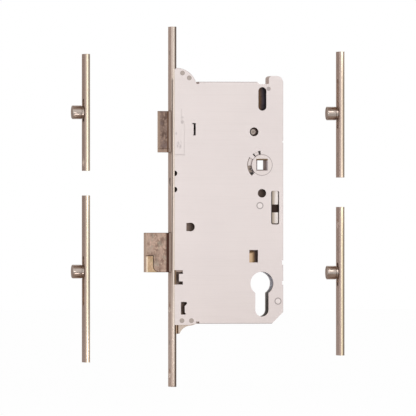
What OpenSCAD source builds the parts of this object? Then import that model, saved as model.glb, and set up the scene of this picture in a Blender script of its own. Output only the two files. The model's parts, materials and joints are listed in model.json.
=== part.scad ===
// Multipoint door lock for a narrow stile: gearbox case with latch and deadbolt on a long faceplate,
// and four stretches of the same faceplate with their drive rods and roller bolts.
// Origin at the spindle axis, halfway through the case. X runs from the faceplate to the case's rear,
// Y runs through the case, Z is up. All sizes in millimetres.

/* [Faceplate] */
// Width of every faceplate
plate_w = 16; // [16:0.5:20]
// Thickness of every faceplate
plate_t = 2.5; // [2.2:0.1:3]
// Radius of the two front corners
plate_r = 1.7; // [0.8:0.1:2]
// Diameter of the screw holes
screw_d = 4.6; // [3.8:0.1:5]
// Diameter of their countersinks
screw_head_d = 8; // [6.5:0.1:9]

/* [Case] */
// Spindle axis to the front of the faceplate
backset = 70; // [68:0.5:80]
// Spindle axis down to the cylinder axis
centres = 90; // [88:0.5:96]
// Thickness of the case over both plates
case_t = 15; // [15:0.1:15.8]
// Thickness of the sheet steel
sheet = 1.5; // [1.2:0.05:1.6]
// Spindle axis up to the top edge
case_top = 63.2; // [62.6:0.2:66]
// Cylinder axis down to the bottom edge
case_low = 30.6; // [30.2:0.2:34]
// Spindle axis to the rear edge
case_rear = 16.4; // [16.2:0.2:18]
// Height of the ear above the top edge
ear_h = 4.5; // [3:0.5:8]
// Width of the ear
ear_w = 11; // [9:0.5:12]
// Radius of the top wing
wing_r = 16; // [15:0.1:17]
// Diameter of the wing rivets
wing_rivet_d = 3.6; // [3:0.1:4]

/* [Drive] */
// Width of the drive rods
rod_w = 10; // [8:0.5:11]
// Thickness of the drive rods
rod_t = 1.7; // [1.5:0.1:2.2]
// Turn of the follower when the handle is lifted
lift_angle = 50; // [30:1:50]
// Turn of the follower when the handle is pressed
press_angle = 32; // [26:1:32]
// Teeth of the follower's pinion
pinion_teeth = 16; // [16:2:16]
// Module of the teeth
tooth_m = 1; // [0.98:0.01:1.02]
// Thickness of racks and links
slide_t = 2; // [1.5:0.1:2.2]

/* [Follower and cylinder] */
// Side of the square spindle
spindle = 7; // [6:0.5:8.5]
// Diameter of the follower where it turns in the plates
hub_d = 16.2; // [15.8:0.1:16.6]
// Radius of the round part of the cylinder hole
cyl_r = 8.9; // [8.7:0.1:9.2]
// Width of the straight part of the cylinder hole
cyl_slot = 10.3; // [10.1:0.1:10.8]
// Cylinder axis down to the end of the hole
cyl_drop = 25.2; // [24.8:0.1:25.8]

/* [Latch] */
// Height of the latch's middle above the spindle
latch_z = 25.2; // [25:0.1:26]
// Height of the latch
latch_h = 31.4; // [28:0.2:31.4]
// How far the latch stands out
latch_out = 10; // [9:0.1:10]
// Thickness of the latch and the deadbolt
bolt_t = 11.4; // [10:0.1:11.4]

/* [Deadbolt] */
// Depth of the deadbolt's middle below the spindle
bolt_z = 66.5; // [66:0.1:67]
// Height of the deadbolt
bolt_h = 30; // [26:0.5:30]
// How far the thrown deadbolt stands out
bolt_out = 19; // [18:0.5:20]
// Length of the corner insert
insert_len = 5.3; // [4:0.1:7]
// Height of the corner insert
insert_h = 12.4; // [10:0.1:14]

/* [Rollers] */
// Diameter of a roller
roller_d = 10.4; // [9:0.1:12]
// Length of a roller
roller_len = 7.1; // [6:0.1:9]
// Diameter of the stud under a roller
stud_d = 6; // [5:0.1:6.4]
// Slot beyond the stud's middle, away from the case, at the lock's ends
end_slot_out = 10.4; // [10.2:0.1:12]
// Slot beyond the stud's middle, towards the case, at the lock's ends
end_slot_in = 7.8; // [7.7:0.1:10]
// Slot beyond the stud's middle, away from the case, on the middle stretches
mid_slot_out = 11.8; // [10.2:0.1:13]
// Slot beyond the stud's middle, towards the case, on the middle stretches
mid_slot_in = 26.2; // [20:0.1:27]

/* [Stretches] */
// How far the two upper stretches stand to the left of the centre one
left_shift = 66.5; // [50:0.5:80]
// How far the two lower stretches stand to the right of the centre one
right_shift = 130; // [110:0.5:150]
// Bottom and top of the centre stretch
centre_span = [-168.5, 105]; // [-220:0.5:140]
// Bottom and top of the stretch at the lock's top end
upper_end_span = [-4.5, 84.1]; // [-10:0.1:90]
// Bottom and top of the stretch between that end and the case
upper_mid_span = [-149.8, -23.2]; // [-160:0.1:-20]
// Bottom and top of the stretch below the case
lower_mid_span = [-9.5, 86.4]; // [-12:0.1:95]
// Bottom and top of the stretch at the lock's bottom end
lower_end_span = [-145, -31.9]; // [-150:0.1:-28]
// Height of the top end's roller
upper_end_roller_z = 39.9; // [38:0.1:42]
// Height of the upper middle roller
upper_mid_roller_z = -80.9; // [-83:0.1:-79]
// Height of the lower middle roller
lower_mid_roller_z = 39.3; // [37:0.1:41]
// Height of the bottom end's roller
lower_end_roller_z = -81.9; // [-84:0.1:-80]

/* [Hidden] */
$fn = 64;
eps = 0.01;

// Clearances
run_gap = 0.05;
slide_gap = 0.3;
rod_gap = 0.15;
side_gap = 0.3;

// Places along X
front = -backset;
back = front + plate_t;
rod_x0 = back + rod_gap;
rod_x1 = rod_x0 + rod_t;
rear_in = case_rear - sheet;

// Places along Y
half = case_t / 2;
inner = half - sheet;
lobe_gap = 0.25;
lobe_t = 0.75;
near_y0 = -inner + 2 * lobe_gap + lobe_t;
near_y1 = near_y0 + slide_t;
far_y1 = inner - 0.4;
far_y0 = far_y1 - slide_t;

// Places along Z
cyl_z = -centres;
bottom = -centres - case_low;
top_in = case_top - sheet;
bottom_in = bottom + sheet;

// Drive
pitch_r = pinion_teeth * tooth_m / 2;
pitch = PI * tooth_m;
out_travel = pitch_r * lift_angle * PI / 180;
in_travel = pitch_r * press_angle * PI / 180;
backlash = 0.4;
pressure = 20;
tip_r = pitch_r + 0.95 * tooth_m;
root_r = pitch_r - 1.25 * tooth_m;
rack_tip = 0.9 * tooth_m;
rack_root = 1.25 * tooth_m;

// Faceplate screws of the centre stretch, of the upper end and of the lower end
case_screw_z = -12.9;
low_screw_z = -108.4;
bottom_screw_z = -158.6;
upper_end_screw_z = 2.5;
lower_end_screw_z = -44.1;

// Ear, step and wing of the case outline
ear_x = case_rear - ear_w;
ear_front_r = 2.5;
ear_rear_r = 5;
step_drop = 1.7;
step_w = 7.3;
step_bevel = 1.9;
wing_x = back + 1.4;
wing_z = case_top - 5.5;
wing_bevel = 1.4;
wing_end = -48.4;
relief_w = 2.4;
relief_h = 1.6;
corner_cut = 8.8;
low_wing_drop = 0.9;
low_wing_w = 10.5;

// Notches in the rear edge: middle, height and depth of each
rear_notches = [[17.6, 1.4, 0.5], [-74.1, 3.2, 0.9], [-89.6, 2.8, 0.8]];

// Rivets of the wings, each as far in from the top wing's arc, and pillars
rivet_in = 3;
rivet_angles = [68.7, 40.1];
top_rivets = [for (a = rivet_angles) [wing_x, wing_z] + (wing_r - rivet_in) * [cos(a), sin(a)]];
low_rivet_x = [back + 5.7, back + 13];
low_rivet_z = bottom + 2.4;
low_rivets = [for (x = low_rivet_x) [x, low_rivet_z]];
pillar_r = 2.3;
pillar_head_r = 2.7;
rear_pillar_in = 2.5;
rear_pillar_drop = 13.5;
near_pillar = [-1.6, -30.9];
pillars = [near_pillar, [rear_in - rear_pillar_in, cyl_z - rear_pillar_drop]];

// Drive links
upper_arm_z = [46, 52.4];
lower_arm_z = [-97, -91];
lower_drop_x = [-30, -25];
lower_lead_z = [-36, -30];
upper_arm_mid = (upper_arm_z[0] + upper_arm_z[1]) / 2;
lower_arm_mid = (lower_arm_z[0] + lower_arm_z[1]) / 2;
lower_lead_mid = (lower_lead_z[0] + lower_lead_z[1]) / 2;
rack_web = 5;

// Stud and roller
collar_t = 1.3;
collar_r = roller_d / 2 - 0.3;
collar_x = 0.25;
stud_head_r = stud_d / 2 + 0.7;
stud_head_t = 0.7;
roller_play = 0.15;
roller_start = collar_x + collar_t + roller_play;
slot_w = stud_d + 0.5;

// Guide rivets of the drive rods
guide_r = 2;
guide_head_r = 2.9;
guide_head_t = 0.6;
guide_recess = 1;
upper_guide_z = 85;
lower_guide_z = -135;
upper_end_guides = [27.7, -18.3];
upper_mid_guides = [35.9, -44.1];
lower_mid_guides = [35.7, -31.3];
lower_end_guides = [18.2, -38.3];

steel = [0.90, 0.86, 0.85];
brass_plated = [0.66, 0.58, 0.52];
bright_edge = [0.93, 0.87, 0.79];
rod_colour = [0.44, 0.39, 0.36];
cast = [0.60, 0.52, 0.47];
dark_steel = [0.22, 0.20, 0.19];

// An outline in X and Z, given thickness from y0 to y1
module plane(y0, y1) {
    translate([0, y1, 0])
        rotate([90, 0, 0])
            linear_extrude(y1 - y0)
                children();
}

// A box from its ranges along X, Y and Z
module block(x, y, z) {
    translate([x[0], y[0], z[0]])
        cube([x[1] - x[0], y[1] - y[0], z[1] - z[0]]);
}

// A flat rectangle from its ranges
module area(x, z) {
    translate([x[0], z[0]])
        square([x[1] - x[0], z[1] - z[0]]);
}

// A round bar along Y
module bar_y(x, z, r, y0, y1) {
    translate([x, y0, z])
        rotate([-90, 0, 0])
            cylinder(r = r, h = y1 - y0);
}

// A round bar along X
module bar_x(y, z, r, x0, x1) {
    translate([x0, y, z])
        rotate([0, 90, 0])
            cylinder(r = r, h = x1 - x0);
}

// A cone along X, from radius r0 at x0 to r1 at x1
module cone_x(z, r0, r1, x0, x1) {
    translate([x0, 0, z])
        rotate([0, 90, 0])
            cylinder(r1 = r0, r2 = r1, h = x1 - x0);
}

// A slot with round ends, cut along X, upright from z0 to z1
module upright_slot(w, z0, z1, x0, x1) {
    bar_x(0, z0 + w / 2, w / 2, x0, x1);
    bar_x(0, z1 - w / 2, w / 2, x0, x1);
    block([x0, x1], [-w / 2, w / 2], [z0 + w / 2, z1 - w / 2]);
}

// A coil of wire along Z, swept as rings of six sides
module coil(coil_r, wire_r, turns, length) {
    steps = 14;
    sides = 6;
    last = turns * steps;
    rise = length - 2 * wire_r;
    points = [for (i = [0 : last], k = [0 : sides - 1])
        let (a = 360 * i / steps, b = 360 * k / sides, r = coil_r + wire_r * cos(b))
        [r * cos(a), r * sin(a), wire_r + rise * i / last + wire_r * sin(b)]];
    walls = [for (i = [0 : last - 1], k = [0 : sides - 1])
        let (n = (k + 1) % sides)
        [i * sides + k, i * sides + n, (i + 1) * sides + n, (i + 1) * sides + k]];
    ends = [[for (k = [sides - 1 : -1 : 0]) k], [for (k = [0 : sides - 1]) last * sides + k]];
    polyhedron(points, concat(walls, ends));
}

// Faceplates

// Section of a faceplate: square at the back, round at both front corners
module plate_section(x) {
    flat = plate_w / 2 - plate_r;
    intersection() {
        union() {
            translate([x + plate_r, -plate_w / 2])
                square([plate_t, plate_w]);
            translate([x, -flat])
                square([plate_t, 2 * flat]);
            for (side = [-1, 1])
                translate([x + plate_r, side * flat])
                    circle(plate_r);
        }
        translate([x, -plate_w / 2])
            square([plate_t, plate_w]);
    }
}

module plate_blank(x, span) {
    translate([0, 0, span[0]])
        linear_extrude(span[1] - span[0])
            plate_section(x);
}

// Countersunk screw hole
module screw_hole(x, z) {
    sink = (screw_head_d - screw_d) / 2;
    bar_x(0, z, screw_d / 2, x - eps, x + plate_t + eps);
    cone_x(z, screw_head_d / 2 + eps, screw_d / 2, x - eps, x + sink);
}

// Slot in which a roller's stud travels
module travel_slot(x, z0, z1) {
    upright_slot(slot_w, z0, z1, x - eps, x + plate_t + eps);
}

// Holes in which the guide rivets are headed over
module guide_holes(x, heights) {
    for (z = heights)
        bar_x(0, z, guide_r, x - eps, x + plate_t + eps);
}

module faceplate_centre() {
    color(brass_plated)
        difference() {
            plate_blank(front, centre_span);
            for (z = [case_screw_z, low_screw_z, bottom_screw_z])
                screw_hole(front, z);
            guide_holes(front, [upper_guide_z, lower_guide_z]);
            bolt_opening(latch_z, latch_h);
            bolt_opening(-bolt_z, bolt_h);
        }
}

// Opening for the latch or the deadbolt
module bolt_opening(z, h) {
    block([front - eps, back + eps], [-bolt_t / 2 - side_gap, bolt_t / 2 + side_gap],
        [z - h / 2 - side_gap, z + h / 2 + side_gap]);
}

module faceplate_upper_end() {
    x = front - left_shift;
    z = upper_end_roller_z;
    color(brass_plated)
        difference() {
            plate_blank(x, upper_end_span);
            travel_slot(x, z - end_slot_in, z + end_slot_out);
            guide_holes(x, [for (g = upper_end_guides) z + g]);
            screw_hole(x, upper_end_screw_z);
        }
}

module faceplate_upper_mid() {
    x = front - left_shift;
    z = upper_mid_roller_z;
    color(brass_plated)
        difference() {
            plate_blank(x, upper_mid_span);
            travel_slot(x, z - mid_slot_in, z + mid_slot_out);
            guide_holes(x, [for (g = upper_mid_guides) z + g]);
        }
}

module faceplate_lower_mid() {
    x = front + right_shift;
    z = lower_mid_roller_z;
    color(brass_plated)
        difference() {
            plate_blank(x, lower_mid_span);
            travel_slot(x, z - mid_slot_out, z + mid_slot_in);
            guide_holes(x, [for (g = lower_mid_guides) z + g]);
        }
}

module faceplate_lower_end() {
    x = front + right_shift;
    z = lower_end_roller_z;
    color(brass_plated)
        difference() {
            plate_blank(x, lower_end_span);
            travel_slot(x, z - end_slot_out, z + end_slot_in);
            guide_holes(x, [for (g = lower_end_guides) z + g]);
            screw_hole(x, lower_end_screw_z);
        }
}

// Drive rods

// Slot in a rod for a fixed piece of radius r at height z, from the depth start through to the rod's
// back. The rod moves up by up and down by down.
module clear_slot(x, z, r, up, down, start = 0) {
    w = 2 * r + 0.4;
    rod_back = x + plate_t + rod_gap + rod_t;
    upright_slot(w, z - up - w / 2, z + down + w / 2, x + plate_t + start, rod_back + eps);
}

// Slot for a guide rivet: narrow for its shank, wide behind that for its head
module guide_slot(x, z, up, down) {
    clear_slot(x, z, guide_r, up, down);
    clear_slot(x, z, guide_head_r, up, down, rod_gap + rod_t - guide_recess);
}

module rod_blank(x, span) {
    block([x + plate_t + rod_gap, x + plate_t + rod_gap + rod_t], [-rod_w / 2, rod_w / 2], span);
}

// Rod of an outer stretch, with its guide slots, screw slots and the stud's hole
module outer_rod(x, span, z, guides, screws, up, down) {
    color(rod_colour)
        difference() {
            rod_blank(x, span);
            for (g = guides)
                guide_slot(x, z + g, up, down);
            for (s = screws)
                clear_slot(x, s, screw_d / 2, up, down);
            bar_x(0, z, stud_d / 2, x + plate_t, x + plate_t + rod_gap + rod_t + eps);
        }
}

module upper_end_rod() {
    outer_rod(front - left_shift, upper_end_span, upper_end_roller_z, upper_end_guides,
        [upper_end_screw_z], out_travel, in_travel);
}

module upper_mid_rod() {
    outer_rod(front - left_shift, upper_mid_span, upper_mid_roller_z, upper_mid_guides,
        [], out_travel, in_travel);
}

module lower_mid_rod() {
    outer_rod(front + right_shift, lower_mid_span, lower_mid_roller_z, lower_mid_guides,
        [], in_travel, out_travel);
}

module lower_end_rod() {
    outer_rod(front + right_shift, lower_end_span, lower_end_roller_z, lower_end_guides,
        [lower_end_screw_z], in_travel, out_travel);
}

// Rod from the upper link to the top of the centre stretch
module upper_rod() {
    color(rod_colour)
        difference() {
            rod_blank(front, [upper_arm_z[0], centre_span[1]]);
            guide_slot(front, upper_guide_z, out_travel, in_travel);
            link_rivet(upper_arm_z);
        }
}

// Rod from the lower link to the bottom of the centre stretch
module lower_rod() {
    color(rod_colour)
        difference() {
            rod_blank(front, [centre_span[0], lower_arm_z[1] + 4.4]);
            guide_slot(front, lower_guide_z, in_travel, out_travel);
            for (z = [low_screw_z, bottom_screw_z])
                clear_slot(front, z, screw_d / 2, in_travel, out_travel);
            link_rivet(lower_arm_z);
        }
}

// Guide rivets: headed over flush in the faceplate, with a wide head sunk in the rod's back
module guide_rivet(x, z) {
    head = x + plate_t + rod_gap + rod_t - guide_recess + slide_gap;
    bar_x(0, z, guide_r, x, head + eps);
    bar_x(0, z, guide_head_r, head, head + guide_head_t);
}

module rod_guides() {
    left = front - left_shift;
    right = front + right_shift;
    color(dark_steel) {
        for (z = [upper_guide_z, lower_guide_z])
            guide_rivet(front, z);
        for (g = upper_end_guides)
            guide_rivet(left, upper_end_roller_z + g);
        for (g = upper_mid_guides)
            guide_rivet(left, upper_mid_roller_z + g);
        for (g = lower_mid_guides)
            guide_rivet(right, lower_mid_roller_z + g);
        for (g = lower_end_guides)
            guide_rivet(right, lower_end_roller_z + g);
    }
}

// Rollers and their studs

// Stud headed over at the rod's back: shank through rod and slot, collar, pin and outer head
module stud(x, z) {
    outer = x - roller_start - roller_len;
    color(cast) {
        bar_x(0, z, stud_d / 2, outer, x + plate_t + rod_gap + rod_t);
        bar_x(0, z, collar_r, x - collar_x - collar_t, x - collar_x);
        bar_x(0, z, stud_head_r, outer, outer + stud_head_t);
    }
}

// Roller: a sleeve with a rounded outer rim, a small bevel behind and a recess for the stud's head
module roller(x, z) {
    r = roller_d / 2;
    rim = 0.7;
    bevel = 0.3;
    recess = stud_head_t + roller_play;
    color(cast)
        translate([x - roller_start, 0, z])
            rotate([0, -90, 0])
                difference() {
                    rotate_extrude()
                        union() {
                            polygon([[0, 0], [r - bevel, 0], [r, bevel], [r, roller_len - rim],
                                [0, roller_len - rim]]);
                            square([r - rim, roller_len]);
                            translate([r - rim, roller_len - rim])
                                circle(rim);
                        }
                    translate([0, 0, -eps])
                        cylinder(r = stud_d / 2 + run_gap, h = roller_len + 2 * eps);
                    translate([0, 0, roller_len - recess])
                        cylinder(r = stud_head_r + side_gap, h = recess + eps);
                }
}

module upper_end_stud() { stud(front - left_shift, upper_end_roller_z); }
module upper_mid_stud() { stud(front - left_shift, upper_mid_roller_z); }
module lower_mid_stud() { stud(front + right_shift, lower_mid_roller_z); }
module lower_end_stud() { stud(front + right_shift, lower_end_roller_z); }
module upper_end_roller() { roller(front - left_shift, upper_end_roller_z); }
module upper_mid_roller() { roller(front - left_shift, upper_mid_roller_z); }
module lower_mid_roller() { roller(front + right_shift, lower_mid_roller_z); }
module lower_end_roller() { roller(front + right_shift, lower_end_roller_z); }

// Case

// Outline of the case from the side, drawn smaller by inset
module case_outline(inset = 0) {
    top = case_top - inset;
    low = bottom + inset;
    rear = case_rear - inset;
    difference() {
        area([back, rear], [low, top]);
        // Step in front of the ear
        polygon([[ear_x - step_w - step_bevel, top + eps], [ear_x - step_w, top - step_drop],
            [ear_x + inset, top - step_drop], [ear_x + inset, top + eps]]);
        // Cut lower rear corner
        translate([rear, low])
            rotate(45)
                square(corner_cut * sqrt(2) - inset * 0.83, center = true);
    }
    ear_outline(inset);
}

// Ear at the top rear, with a small front radius and a large rear radius
module ear_outline(inset) {
    x0 = ear_x + inset;
    x1 = case_rear - inset;
    top = case_top + ear_h - inset;
    r0 = ear_front_r - inset;
    r1 = ear_rear_r - inset;
    area([x0, x1], [case_top - step_drop - 2, top - r1]);
    area([x0, x1 - r1], [top - r1 - eps, top - r0]);
    area([x0 + r0, x1 - r1], [top - r0 - eps, top]);
    translate([x0 + r0, top - r0])
        circle(r0);
    translate([x1 - r1, top - r1])
        circle(r1);
}

// Wings at the front, above and below the main outline, which take the brackets' rivets
module wing_outline() {
    top = wing_z + wing_r;
    intersection() {
        translate([wing_x, wing_z])
            circle(wing_r);
        polygon([[back, wing_z], [back, top - wing_bevel], [back + wing_bevel, top], [wing_end, top],
            [wing_end, wing_z]]);
    }
    polygon([[back, bottom + 1], [back, bottom - low_wing_drop],
        [back + low_wing_w, bottom - low_wing_drop], [wing_end - 2, bottom], [wing_end - 2, bottom + 1]]);
}

// Small bend reliefs where the rim of the tray ends
module reliefs() {
    for (z = [case_top, bottom])
        area([wing_end - relief_w, wing_end], [z - relief_h, z + relief_h]);
}

// Shallow notches in the rear edge
module edge_notches() {
    for (n = rear_notches)
        area([case_rear - n[2], case_rear + eps], [n[0] - n[1] / 2, n[0] + n[1] / 2]);
}

// Hole for the profile cylinder
module cylinder_outline() {
    translate([0, cyl_z])
        circle(cyl_r);
    area([-cyl_slot / 2, cyl_slot / 2], [cyl_z - cyl_drop + cyl_slot / 2, cyl_z]);
    translate([0, cyl_z - cyl_drop + cyl_slot / 2])
        circle(cyl_slot / 2);
}

module at_each(places) {
    for (p = places)
        translate(p)
            children();
}

// Outline with square ends at z0 and round ones at the sides of an upright window
module round_window(x, z, r) {
    area([x[0] + r, x[1] - r], z);
    area(x, [z[0] + r, z[1] - r]);
    for (cx = [x[0] + r, x[1] - r], cz = [z[0] + r, z[1] - r])
        translate([cx, cz])
            circle(r);
}

// Windows of the cover. Those at the faceplate are placed from its back.
tall_window_x = [-2.8, 3.4];
tall_window_z = [41.3, 59.2];
tail_pin_x = -6.1;
pin_window_r = 3.35;
hub_window_r = 11.4;
hub_window_angles = [148, 226];
lobe_window_r = 10.9;
lobe_window_angles = [96.5, 132];
screw_window_z = -21.5;
screw_window_r = 3.25;
rear_window_x = [7.15, 13.3];
rear_window_z = [-45.2, -19.6];
rear_window_r = 1.3;
guide_window_x = back + 14.7;
guide_window_w = 1.6;
guide_window_z = [22.4, 31.8];
guide_hook = 1.1;
flat_hole = [back + 12.3, -47.1];
flat_hole_r = 3.3;
notch_r = 2.1;
notch_z = [case_screw_z + 6.5, case_screw_z - 5.8];
tongue_window_w = 6.4;
tongue_slit = 0.35;
tongue_bar = 0.75;
tongue_window_z = [-90.8, -79.9];
tongue_x = back + 3.4;
tongue_z = [-88.4, -82.7];
anchor_x = back + 4.9;
anchor_z = [-113.6, -104];
anchor_w = 2.95;
anchor_top_foot = 1.7;
anchor_low_foot = 0.7;
square_window_x = [-9.8, -3.1];
square_window_z = [-74.1, -64.6];
module cover_windows() {
    // Tall slot near the top
    round_slot(tall_window_x, tall_window_z);
    // Round hole over the latch tail's pin
    translate([tail_pin_x, latch_z])
        circle(pin_window_r);
    // Curved windows over the follower's lobes, open to its bearing
    ring_sector(root_r, hub_window_r, hub_window_angles[0], hub_window_angles[1]);
    ring_sector(root_r, lobe_window_r, lobe_window_angles[0], lobe_window_angles[1]);
    // Handle screw hole
    translate([0, screw_window_z])
        circle(screw_window_r);
    // Rear window over the rack
    round_window(rear_window_x, rear_window_z, rear_window_r);
    // Slot of the latch guide, with a hook at each end
    area([guide_window_x, guide_window_x + guide_window_w], guide_window_z);
    area([guide_window_x - guide_hook, guide_window_x + eps], [guide_window_z[1] - 1, guide_window_z[1]]);
    area([guide_window_x - guide_hook / 2, guide_window_x + eps],
        [guide_window_z[0], guide_window_z[0] + 0.6]);
    // Flat-sided round hole
    intersection() {
        translate(flat_hole)
            circle(flat_hole_r);
        translate([flat_hole[0] - flat_hole_r, flat_hole[1] - flat_hole_r])
            square([2 * flat_hole_r, 2 * flat_hole_r - 0.1]);
    }
    translate([flat_hole[0] - flat_hole_r + 0.1, flat_hole[1] - flat_hole_r + 0.2])
        square([flat_hole_r, 2 * flat_hole_r - 0.4]);
    // Half-round notches at the faceplate
    for (z = notch_z)
        translate([back, z])
            circle(notch_r);
    // Opening with a tongue, below the deadbolt, and a slit beside it that leaves a narrow bar
    difference() {
        area([back + tongue_slit + tongue_bar, back + tongue_window_w], tongue_window_z);
        area([tongue_x, back + tongue_window_w + eps], tongue_z);
    }
    area([back - eps, back + tongue_slit], tongue_window_z);
    // Anchor hole: an upright slot with a foot at each end
    right = anchor_x + anchor_w;
    polygon([[anchor_x, anchor_z[0]], [right + anchor_low_foot, anchor_z[0]],
        [right + anchor_low_foot, anchor_z[0] + 0.8], [right, anchor_z[0] + 1.8],
        [right, anchor_z[1] - 3.2], [right + anchor_top_foot, anchor_z[1] - 1.4],
        [right + anchor_top_foot, anchor_z[1] - 0.6], [right + anchor_top_foot - 0.6, anchor_z[1]],
        [anchor_x, anchor_z[1]]]);
    // Square window over the tumbler
    area(square_window_x, square_window_z);
}

// Upright slot with round ends, from its ranges along X and Z
module round_slot(x, z) {
    r = (x[1] - x[0]) / 2;
    area(x, [z[0] + r, z[1] - r]);
    for (cz = [z[0] + r, z[1] - r])
        translate([x[0] + r, cz])
            circle(r);
}

// Part of a ring between two angles
module ring_sector(r0, r1, a0, a1) {
    reach = 2 * r1;
    intersection() {
        difference() {
            circle(r1);
            circle(r0);
        }
        polygon([[0, 0], for (i = [0 : 4]) let (a = a0 + (a1 - a0) * i / 4) reach * [cos(a), sin(a)]]);
    }
}

// Raised pad beside the latch, pressed out of the cover, with sloping sides
module pad(x1, z) {
    foot = -half + 0.2;
    crest = -half - press;
    slope = 1;
    intersection() {
        translate([0, 0, z[0]])
            linear_extrude(z[1] - z[0])
                polygon([[back, foot], [x1, foot], [x1, -half], [x1 - slope, crest], [back, crest]]);
        rotate([90, 0, 90])
            translate([0, 0, back])
                linear_extrude(x1 - back)
                    polygon([[foot, z[0]], [foot, z[1]], [-half, z[1]], [crest, z[1] - slope],
                        [crest, z[0] + slope], [-half, z[0]]]);
    }
}

// Cover: the plate on the near side, with its windows
press = 0.3;
wide_pad_x = back + 8.1;
wide_pad_z = [7.4, 32.4];
narrow_pad_x = back + 5.9;
narrow_pad_z = [24, 43];
dimple = [5.1, 57.9];
dimple_r = 1.65;
dimple_depth = 0.7;
module case_cover() {
    color(steel)
        difference() {
            union() {
                plane(-half, -inner)
                    difference() {
                        union() {
                            case_outline();
                            wing_outline();
                        }
                        reliefs();
                        edge_notches();
                        cylinder_outline();
                        circle(hub_d / 2 + run_gap);
                        cover_windows();
                        at_each(concat(top_rivets, low_rivets))
                            circle(wing_rivet_d / 2);
                        at_each(pillars)
                            circle(pillar_head_r);
                    }
                pad(wide_pad_x, wide_pad_z);
                pad(narrow_pad_x, narrow_pad_z);
            }
            // Dimple by the ear
            bar_y(dimple[0], dimple[1], dimple_r, -half - eps, -half + dimple_depth);
        }
}

// Tray: the plate on the far side, bent round the edge to make the rim
spring_post_z = -20;
module case_tray() {
    color(steel) {
        plane(inner, half)
            difference() {
                union() {
                    case_outline();
                    wing_outline();
                }
                reliefs();
                edge_notches();
                cylinder_outline();
                circle(hub_d / 2 + run_gap);
                at_each(concat(top_rivets, low_rivets))
                    circle(wing_rivet_d / 2);
                at_each(pillars)
                    circle(pillar_r);
            }
        plane(-inner, inner + eps)
            difference() {
                intersection() {
                    case_outline();
                    area([wing_end, case_rear + 1], [bottom - 1, case_top + ear_h + 1]);
                }
                case_outline(sheet);
                edge_notches();
                area([back, wing_end + eps], [bottom, case_top]);
            }
        // Lug under the follower's return spring
        block([hub_arm - 2.8, hub_arm + 2.8], [0.5, inner + eps], [spring_post_z, spring_post_z + sheet]);
    }
}

// Bracket between the plates at the top: fills the wing and leaves a channel for the rod
module top_bracket() {
    cut = 0.7;
    low = upper_arm_z[1] + out_travel + 0.6;
    color(steel)
        plane(-inner, inner)
            difference() {
                intersection() {
                    translate([wing_x, wing_z])
                        circle(wing_r - cut);
                    area([rod_x1 + 0.4, wing_end], [low, case_top + wing_r]);
                }
                at_each(top_rivets)
                    circle(wing_rivet_d / 2);
            }
}

// Bracket between the plates at the bottom: its lug hangs below the case in a hollow curve, and a thin
// leg stands beside the lug, in front of the rod
module bottom_bracket() {
    lug = 7.6;
    hollow = 9.4;
    hollow_x = 10.6;
    edge = bottom - 1.4;
    leg_x = [back + 0.9, back + 2.1];
    leg_t = 0.7;
    x0 = rod_x1 + 0.5;
    x1 = wing_end - 2.5;
    top = bottom + 6.1;
    color(bright_edge) {
        plane(-inner, inner)
            difference() {
                area([x0, x1], [bottom - lug, top]);
                translate([x0 + hollow_x, edge - hollow])
                    circle(hollow);
                polygon([[x0 + hollow_x, edge], [x1 + eps, bottom - 0.3], [x1 + eps, bottom - lug - 1],
                    [x0 + hollow_x, bottom - lug - 1]]);
                at_each(low_rivets)
                    circle(wing_rivet_d / 2);
            }
        plane(-inner, -inner + leg_t) {
            area(leg_x, [bottom - lug, bottom + 1]);
            area([leg_x[0], x0 + eps], [bottom + 0.5, top]);
        }
    }
}

module wing_rivets() {
    proud = 0.25;
    color(brass_plated)
        for (p = concat(top_rivets, low_rivets))
            bar_y(p[0], p[1], wing_rivet_d / 2, -half - proud, half + proud);
}

// Pillars between the plates, with a wider flush head in the cover
module case_pillars() {
    color(steel)
        for (p = pillars) {
            bar_y(p[0], p[1], pillar_r, -inner - eps, half);
            bar_y(p[0], p[1], pillar_head_r, -half, -inner);
        }
}

// Follower

function inv(a) = tan(a) - a * PI / 180;

// Half of a tooth's angle at radius r, in degrees
function tooth_half(r) =
    let (base = pitch_r * cos(pressure), thick = pitch / 2 - backlash / 2,
        a = r > base ? acos(base / r) : 0)
    (thick / (2 * pitch_r) + inv(pressure) - inv(a)) * 180 / PI;

// Pinion outline with involute teeth, one tooth pointing along +X
module pinion_outline() {
    base = pitch_r * cos(pressure);
    radii = [root_r - 0.2, base, (base + pitch_r) / 2, pitch_r, (pitch_r + tip_r) / 2, tip_r];
    circle(root_r);
    for (t = [0 : pinion_teeth - 1])
        rotate(360 * t / pinion_teeth)
            polygon(concat(
                [for (r = radii) r * [cos(tooth_half(r)), -sin(tooth_half(r))]],
                [for (i = [len(radii) - 1 : -1 : 0])
                    let (r = radii[i]) r * [cos(tooth_half(r)), sin(tooth_half(r))]]));
}

spindle_side = spindle + 0.1;
module spindle_hole() {
    square(spindle_side, center = true);
}

// Bevel round the square hole at the near face
module spindle_bevel() {
    bevel = 0.65;
    outer = spindle_side + 2 * (bevel + eps);
    translate([0, -half - eps, 0])
        rotate([-90, 0, 0])
            linear_extrude(bevel + eps, scale = spindle_side / outer)
                square(outer, center = true);
}

// Lobes of the follower's cam disc, which show in the curved windows: radius and angles of each
lobes = [[hub_window_r - 0.9, 133, 182.5], [lobe_window_r + 0.4, 104.5, 124]];

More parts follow.
